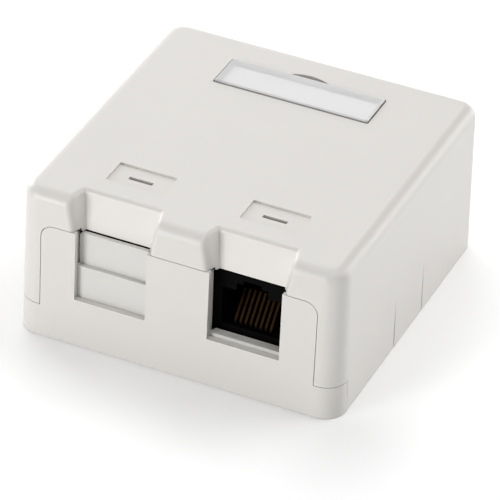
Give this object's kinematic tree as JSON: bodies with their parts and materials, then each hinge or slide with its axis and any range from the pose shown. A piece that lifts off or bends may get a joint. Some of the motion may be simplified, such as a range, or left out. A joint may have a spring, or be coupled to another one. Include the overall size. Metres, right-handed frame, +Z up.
{
  "type": "surface mount jack box",
  "caption": "Two-port surface mount box with a lift-off cover, telescoping dust shutters, modular jacks and wiring blocks inside.",
  "frame": {"origin": "centre of the bounding box in X and Y, at the mounting surface under the base", "axes": "+Z up from the mounting surface through the cover; the two ports face -Y; +X to the right for someone who looks into the ports"},
  "size_m": [0.066, 0.0674, 0.0325],
  "materials": {
    "housing": "fine spark-eroded texture, off-white ABS",
    "shutter": "satin off-white ABS",
    "window": "clear polished polycarbonate",
    "card": "plain white card",
    "board": "green solder mask on glass-fibre laminate",
    "jack": "black moulded polyester",
    "gold": "gold-plated phosphor bronze",
    "block": "natural polycarbonate",
    "tin": "tin-plated phosphor bronze",
    "cap": "translucent natural polycarbonate"
  },
  "bodies": {
    "base": {"base": "housing", "circuit_board": "board", "jack_left": "jack", "jack_right": "jack", "contact_left_1": "gold", "contact_left_2": "gold", "contact_left_3": "gold", "contact_left_4": "gold", "contact_left_5": "gold", "contact_left_6": "gold", "contact_left_7": "gold", "contact_left_8": "gold", "idc_block_left": "block", "idc_blade_left_1": "tin", "idc_blade_left_2": "tin", "idc_blade_left_3": "tin", "idc_blade_left_4": "tin", "idc_blade_left_5": "tin", "idc_blade_left_6": "tin", "idc_blade_left_7": "tin", "idc_blade_left_8": "tin", "wiring_cap_left": "cap", "contact_right_1": "gold", "contact_right_2": "gold", "contact_right_3": "gold", "contact_right_4": "gold", "contact_right_5": "gold", "contact_right_6": "gold", "contact_right_7": "gold", "contact_right_8": "gold", "idc_block_right": "block", "idc_blade_right_1": "tin", "idc_blade_right_2": "tin", "idc_blade_right_3": "tin", "idc_blade_right_4": "tin", "idc_blade_right_5": "tin", "idc_blade_right_6": "tin", "idc_blade_right_7": "tin", "idc_blade_right_8": "tin", "wiring_cap_right": "cap"},
    "cover": {"cover": "housing", "label_card": "card"},
    "window": {"label_window": "window"},
    "left_lower_leaf": {"shutter_lower_left": "shutter"},
    "left_upper_leaf": {"shutter_upper_left": "shutter"},
    "right_lower_leaf": {"shutter_lower_right": "shutter"},
    "right_upper_leaf": {"shutter_upper_right": "shutter"}
  },
  "joints": [
    {"name": "cover_lift", "type": "slide", "parent": "base", "child": "cover", "axis": [0, 0, 1], "range_m": [0, 0.036]},
    {"name": "window_lift", "type": "slide", "parent": "cover", "child": "window", "axis": [0, 0, 1], "range_m": [0, 0.006]},
    {"name": "left_lower_slide", "type": "slide", "parent": "base", "child": "left_lower_leaf", "axis": [0, 0, 1], "range_m": [-0.0062, 0]},
    {"name": "left_upper_slide", "type": "slide", "parent": "left_lower_leaf", "child": "left_upper_leaf", "axis": [0, 0, 1], "range_m": [-0.00675, 0]},
    {"name": "right_lower_slide", "type": "slide", "parent": "base", "child": "right_lower_leaf", "axis": [0, 0, 1], "range_m": [0, 0.0062]},
    {"name": "right_upper_slide", "type": "slide", "parent": "right_lower_leaf", "child": "right_upper_leaf", "axis": [0, 0, 1], "range_m": [0, 0.00675]}
  ]
}
